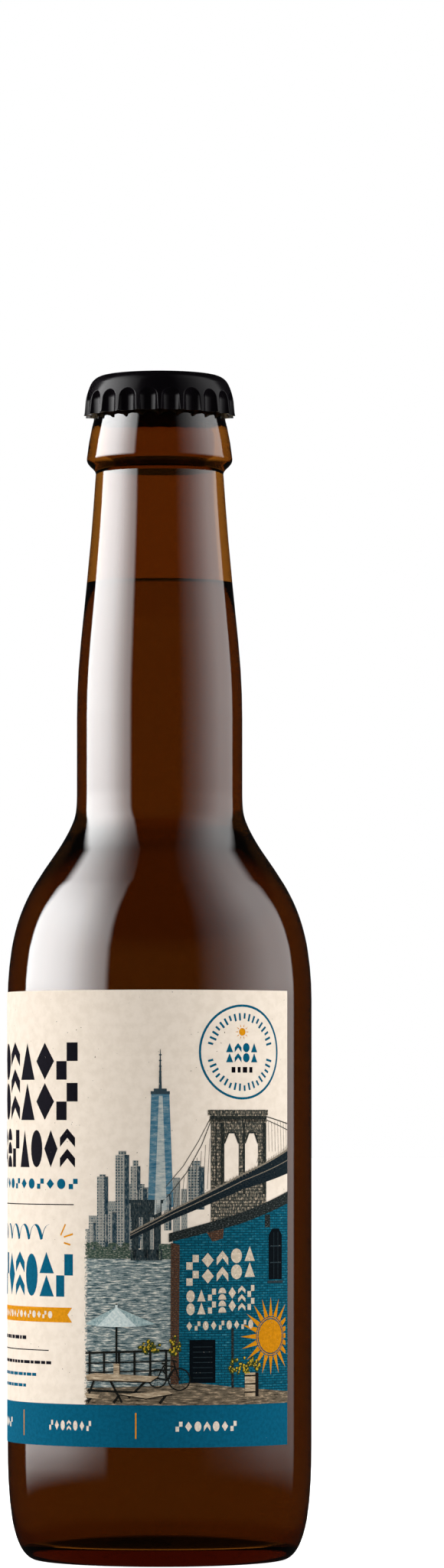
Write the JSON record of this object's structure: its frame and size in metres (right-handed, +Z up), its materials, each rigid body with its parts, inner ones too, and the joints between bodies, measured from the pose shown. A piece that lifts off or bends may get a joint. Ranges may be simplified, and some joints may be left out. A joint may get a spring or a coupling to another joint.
{
  "type": "long-neck glass drink bottle",
  "caption": "Amber long-neck glass bottle with a wrap-round paper label, full of drink and closed with a pressed crown cap.",
  "frame": {"origin": "centre of the base, on the plane the bottle stands on", "axes": "+Z up along the bottle's axis; -Y is the front, and the middle of the wrapped label is 64 degrees round from it towards -X"},
  "size_m": [0.0601, 0.0602, 0.234],
  "materials": {
    "amber_glass": "gloss",
    "drink": "gloss",
    "label_paper": "satin",
    "cap_paint": "gloss",
    "liner": "satin"
  },
  "bodies": {
    "bottle": {"bottle": "amber_glass", "beer": "drink", "label": "label_paper"},
    "cap": {"crown_cap": "cap_paint", "cap_liner": "liner"}
  },
  "joints": [
    {"name": "cap_lift", "type": "slide", "parent": "bottle", "child": "cap", "axis": [0, 0, 1], "range_m": [0, 0.04]}
  ]
}
